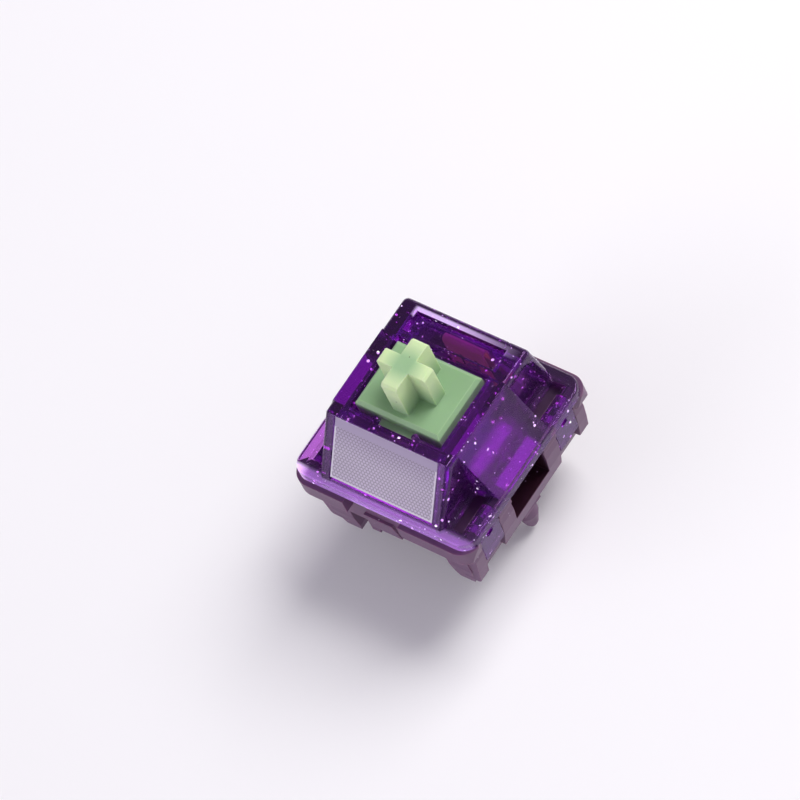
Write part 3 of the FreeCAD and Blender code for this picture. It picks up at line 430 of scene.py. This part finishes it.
def make_diffuser_plastic():
    """Honeycomb of small domes in staggered rows.

    The sum of three cosines, with crests about 60 degrees apart, is high on each dome and low
    along the seams between them.
    """
    material, nodes, links, shader = new_material("prism_diffuser")
    x, y, z = split_place(nodes, links)
    stretch = math.hypot(SLOPE_RUN, SLOPE_RISE) / SLOPE_RISE
    across = math_node(nodes, links, "MULTIPLY", x, 2 * math.pi / DOME_PITCH)
    up_slope = math_node(nodes, links, "MULTIPLY", z, 2 * math.pi * stretch / ROW_PITCH)
    half_slope = math_node(nodes, links, "MULTIPLY", up_slope, 0.5)
    crests = math_node(nodes, links, "COSINE", up_slope)
    for operation in ("ADD", "SUBTRACT"):
        turns = math_node(nodes, links, operation, across, half_slope)
        crests = math_node(nodes, links, "ADD", crests, math_node(nodes, links, "COSINE", turns))
    seam = nodes.new("ShaderNodeMapRange")
    seam.inputs["From Min"].default_value = SEAM_LEVELS[0]
    seam.inputs["From Max"].default_value = SEAM_LEVELS[1]
    links.new(crests, seam.inputs["Value"])
    patterned = inside_all(nodes, links, (z, PATTERN_FOOT, BAND_BOTTOM, SOFT),
                           (x, -PATTERN_HALF, PATTERN_HALF, SOFT))
    seams = math_node(nodes, links, "MULTIPLY", seam.outputs[0], patterned)
    grain = place_group(nodes, GRAIN, Fine=9000.0, Broad=300.0)
    field = blend_colors(nodes, links, grain.outputs["Drift"], DIFFUSER_PALE, scaled(DIFFUSER_PALE, 0.80))
    near_band = inside_band(nodes, links, z, BAND_BOTTOM, BAND_TOP, 1.5 * MM)
    near_band = math_node(nodes, links, "MULTIPLY", near_band, 0.75)
    field = blend_colors(nodes, links, near_band, field, DIFFUSER_BAND)
    rimmed = blend_colors(nodes, links, patterned, DIFFUSER_RIM, field)
    on_band = inside_band(nodes, links, z, BAND_BOTTOM, BAND_TOP, SOFT)
    banded = blend_colors(nodes, links, on_band, rimmed, DIFFUSER_BAND)
    share = math_node(nodes, links, "MULTIPLY", seams, 0.65)
    links.new(blend_colors(nodes, links, share, banded, DIFFUSER_DARK), shader.inputs["Base Color"])
    shader.inputs["Roughness"].default_value = 0.32
    shader.inputs["Transmission Weight"].default_value = 0.2
    shader.inputs["IOR"].default_value = 1.49
    add_bump(nodes, links, shader, seams, 0.03 * MM, -0.4)
    return material


dress("light_diffuser", make_diffuser_plastic())


# Top housing
# Clear polycarbonate, tinted deep violet and filled with silver flakes. It clips over the base
# with its four legs and is closed by the diffuser in front. Glow colours set by place are painted
# highlights for the bright bands along its lip, its front left corner and its back rim, and the
# pale colour of the lip is a painted highlight too.
HOOD_TINT = (0.80, 0.07, 0.86, 1.0)
HOOD_DENSITY = 1500.0
HOOD_SKIN = (0.55, 0.20, 0.80, 1.0)
HOOD_SATIN = (0.72, 0.46, 0.86, 1.0)
HOOD_LIP_HIGHLIGHT = (0.80, 0.62, 0.95, 1.0)
LIP_GLOW = (0.180, 0.100, 0.270, 1.0)
CORNER_GLOW = (0.90, 0.72, 1.0, 1.0)
BACK_GLOW = (0.72, 0.52, 0.92, 1.0)
NO_GLOW = (0.0, 0.0, 0.0, 1.0)
HOOD_SHEEN = (0.70, 0.36, 0.95, 1.0)
HOOD_ROUGHNESS = (0.08, 0.26)
RAMP_HALF = 3.12 * MM
RAMP_REACH = (5.3 * MM, 8.0 * MM)
LIP_LEVELS = (6.2 * MM, 7.08 * MM)


def make_hood_plastic():
    """Clear tinted plastic: the tint is in its depth, the flank ramps are satin, and the lip, its corner
    and the back rim carry painted highlights.
    """
    material, nodes, links, shader = new_material("violet_polycarbonate")
    edge = place_group(nodes, EDGES, Radius=0.05 * MM)
    x, y, z = split_place(nodes, links)
    aside = math_node(nodes, links, "ABSOLUTE", x)
    on_ramp = inside_all(nodes, links, (aside, *RAMP_REACH, 0.03 * MM),
                         (y, -RAMP_HALF, RAMP_HALF, 0.03 * MM), (z, 7.1 * MM, 12.0 * MM, 0.1 * MM))
    skin = blend_colors(nodes, links, on_ramp, HOOD_SKIN, HOOD_SATIN)
    # Painted highlight: the lip band is paler all round.
    on_lip = inside_band(nodes, links, z, *LIP_LEVELS, 0.05 * MM)
    links.new(blend_colors(nodes, links, on_lip, skin, HOOD_LIP_HIGHLIGHT), shader.inputs["Base Color"])
    on_front = inside_all(nodes, links, (z, 6.0 * MM, 7.2 * MM, 0.1 * MM),
                          (y, -8.0 * MM, -6.9 * MM, 0.3 * MM))
    in_corner = inside_band(nodes, links, x, -8.0 * MM, -7.3 * MM, 1.0 * MM)
    in_corner = math_node(nodes, links, "MULTIPLY", on_front, in_corner)
    on_back = inside_all(nodes, links, (z, 11.3 * MM, 12.0 * MM, 0.05 * MM),
                         (y, 5.0 * MM, 5.6 * MM, 0.15 * MM), (x, -3.8 * MM, 9.0 * MM, 0.3 * MM),
                         (x, -3.8 * MM, -1.0 * MM, 6.0 * MM))
    # Painted highlights as glow: along the front lip, brightest at its left corner, and on the back rim.
    glow = blend_colors(nodes, links, on_front, NO_GLOW, LIP_GLOW)
    glow = blend_colors(nodes, links, in_corner, glow, CORNER_GLOW)
    glow = blend_colors(nodes, links, on_back, glow, BACK_GLOW)
    links.new(glow, shader.inputs["Emission Color"])
    shader.inputs["Emission Strength"].default_value = 1.0
    shader.inputs["Specular IOR Level"].default_value = 0.35
    shader.inputs["Specular Tint"].default_value = HOOD_SHEEN
    rough = nodes.new("ShaderNodeMapRange")
    rough.inputs["To Min"].default_value = HOOD_ROUGHNESS[0]
    rough.inputs["To Max"].default_value = HOOD_ROUGHNESS[1]
    links.new(on_ramp, rough.inputs["Value"])
    links.new(rough.outputs[0], shader.inputs["Roughness"])
    shader.inputs["Transmission Weight"].default_value = 0.96
    shader.inputs["IOR"].default_value = 1.585
    links.new(edge.outputs["Normal"], shader.inputs["Normal"])
    absorb = nodes.new("ShaderNodeVolumeAbsorption")
    absorb.inputs["Color"].default_value = HOOD_TINT
    absorb.inputs["Density"].default_value = HOOD_DENSITY
    links.new(absorb.outputs[0], nodes["Material Output"].inputs["Volume"])
    return material


hood = dress("top_housing", make_hood_plastic())


# Silver flakes
# Cut metal foil, mixed into the hood's plastic before it is moulded. The flakes that show lie
# just under its skin, most of them nearly along it.
FLAKE_COUNT = 700
FLAKE_SIDES = 6
FLAKE_SEED = 11
FLAKE_DEPTH = (0.002 * MM, 0.07 * MM)
FLAKE_SMALL = 0.020 * MM
FLAKE_LARGE = 0.15 * MM
FLAKE_RARITY = 3
FLAKE_TILT = 0.7
FLAKE_SILVER = (0.95, 0.92, 0.97, 1.0)
FLAKE_GLINT = (0.95, 0.88, 1.0, 1.0)


def scatter_flakes():
    """One mesh of small flat flakes, each set in from a random point of the hood's skin.

    A flake is a ring of points round its middle, at uneven reach, in a plane near the skin's own.
    """
    rng = np.random.default_rng(FLAKE_SEED)
    skin = hood.data
    skin.calc_loop_triangles()
    points = np.array([vertex.co[:] for vertex in skin.vertices])
    corners = points[np.array([triangle.vertices[:] for triangle in skin.loop_triangles])]
    across = np.cross(corners[:, 1] - corners[:, 0], corners[:, 2] - corners[:, 0])
    area = np.linalg.norm(across, axis=1)
    chosen = rng.choice(len(area), FLAKE_COUNT, p=area / area.sum())
    normal = across[chosen] / area[chosen, None]
    weights = rng.dirichlet((1.0, 1.0, 1.0), FLAKE_COUNT)
    depth = rng.uniform(*FLAKE_DEPTH, FLAKE_COUNT)
    middle = np.einsum("nk,nkc->nc", weights, corners[chosen]) - normal * depth[:, None]
    radius = FLAKE_SMALL + (FLAKE_LARGE - FLAKE_SMALL) * rng.random(FLAKE_COUNT) ** FLAKE_RARITY
    facing = normal + FLAKE_TILT * rng.normal(size=(FLAKE_COUNT, 3))
    facing /= np.linalg.norm(facing, axis=1)[:, None]
    first = np.cross(facing, rng.normal(size=(FLAKE_COUNT, 3)))
    first /= np.linalg.norm(first, axis=1)[:, None]
    second = np.cross(facing, first)
    turn = 2 * np.pi * np.arange(FLAKE_SIDES) / FLAKE_SIDES
    reach = radius[:, None] * rng.uniform(0.7, 1.0, (FLAKE_COUNT, FLAKE_SIDES))
    rim = (middle[:, None] + first[:, None] * (reach * np.cos(turn))[:, :, None]
           + second[:, None] * (reach * np.sin(turn))[:, :, None])
    faces = np.arange(FLAKE_COUNT * FLAKE_SIDES).reshape(FLAKE_COUNT, FLAKE_SIDES)
    mesh = bpy.data.meshes.new("silver_flakes")
    mesh.from_pydata(rim.reshape(-1, 3).tolist(), [], faces.tolist())
    flakes = bpy.data.objects.new("silver_flakes", mesh)
    bpy.context.scene.collection.objects.link(flakes)
    material, nodes, links, shader = new_material("silver_flake")
    shader.inputs["Base Color"].default_value = FLAKE_SILVER
    shader.inputs["Roughness"].default_value = 0.35
    # Painted glint: every flake glows a little, from every side.
    shader.inputs["Emission Color"].default_value = FLAKE_GLINT
    shader.inputs["Emission Strength"].default_value = 1.0
    mesh.materials.append(material)
    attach(flakes, "housing")


scatter_flakes()


# Floor, light and camera
# A plain pale table, a large soft lamp from behind on the right and a weak one in front, in a
# bright room. The camera looks down from the front right, as the photograph does.
FLOOR_COLOR = (0.91, 0.90, 0.915, 1.0)
FLOOR_LEVEL = cad_low.z
FLOOR_HALF = 1.2
LAMP_AIM = (0.0, 0.0, 0.006)
ROOM_BRIGHT = (0.46, 0.45, 0.50, 1.0)
ROOM_DIM = (0.10, 0.08, 0.12, 1.0)
DIM_WAY = (-0.487, 0.303, 0.819)


def make_floor():
    """One square face at the level of the lowest pin tip."""
    mesh = bpy.data.meshes.new("floor")
    corners = [(-FLOOR_HALF, -FLOOR_HALF), (FLOOR_HALF, -FLOOR_HALF),
               (FLOOR_HALF, FLOOR_HALF), (-FLOOR_HALF, FLOOR_HALF)]
    mesh.from_pydata([(x, y, FLOOR_LEVEL) for x, y in corners], [], [(0, 1, 2, 3)])
    floor = bpy.data.objects.new("floor", mesh)
    bpy.context.scene.collection.objects.link(floor)
    material, nodes, links, shader = new_material("pale_table")
    shader.inputs["Base Color"].default_value = FLOOR_COLOR
    shader.inputs["Roughness"].default_value = 0.6
    mesh.materials.append(material)


def add_lamp(name, place, aim, size, power, color):
    """Square soft lamp at a place, turned to face its aim."""
    lamp = bpy.data.lights.new(name, "AREA")
    lamp.shape = "SQUARE"
    lamp.size = size
    lamp.energy = power
    lamp.color = color
    holder = bpy.data.objects.new(name, lamp)
    holder.location = place
    holder.rotation_euler = (Vector(aim) - Vector(place)).to_track_quat("-Z", "Y").to_euler()
    bpy.context.scene.collection.objects.link(holder)


make_floor()
add_lamp("key_lamp", (0.11, 0.30, 0.41), LAMP_AIM, 0.32, 2.4, (1.0, 0.985, 0.97))
add_lamp("front_fill", (-0.22, -0.42, 0.14), LAMP_AIM, 0.40, 0.9, (0.97, 0.95, 1.0))
world = bpy.data.worlds.new("bright_room")
bpy.context.scene.world = world
world.use_nodes = True


def shade_room():
    """Bright room with a dim part of the ceiling, the part that the hood's level faces mirror."""
    nodes, links = world.node_tree.nodes, world.node_tree.links
    place = nodes.new("ShaderNodeTexCoord")
    toward = nodes.new("ShaderNodeVectorMath")
    toward.operation = "DOT_PRODUCT"
    toward.inputs[1].default_value = DIM_WAY
    links.new(place.outputs["Generated"], toward.inputs[0])
    share = inside_band(nodes, links, toward.outputs["Value"], 0.93, 1.07, 0.18)
    color = blend_colors(nodes, links, share, ROOM_BRIGHT, ROOM_DIM)
    links.new(color, nodes["Background"].inputs["Color"])


shade_room()

CAMERA_PLACE = Vector((221.709, -139.700, 385.851)) * MM
CAMERA_AZIMUTH = 58.091
CAMERA_ELEVATION = 54.993
CAMERA_ROLL = -28.381
CAMERA_LENS = 301.69


def make_camera():
    """Camera that looks down from the front right, rolled as the photograph is."""
    azimuth = math.radians(CAMERA_AZIMUTH)
    elevation = math.radians(CAMERA_ELEVATION)
    back = Vector((math.sin(azimuth) * math.cos(elevation),
                   -math.cos(azimuth) * math.cos(elevation), math.sin(elevation)))
    level = Vector((math.cos(azimuth), math.sin(azimuth), 0.0))
    upright = back.cross(level)
    roll = math.radians(CAMERA_ROLL)
    right = level * math.cos(roll) + upright * math.sin(roll)
    up = back.cross(right)
    camera = bpy.data.cameras.new("camera")
    camera.lens = CAMERA_LENS
    camera.sensor_width = 36.0
    camera.clip_start = 0.01
    camera.clip_end = 10.0
    holder = bpy.data.objects.new("camera", camera)
    turned = Matrix((right, up, back)).transposed().to_4x4()
    turned.translation = CAMERA_PLACE
    holder.matrix_world = turned
    bpy.context.scene.collection.objects.link(holder)
    bpy.context.scene.camera = holder


make_camera()
bpy.context.scene.view_settings.view_transform = "Standard"
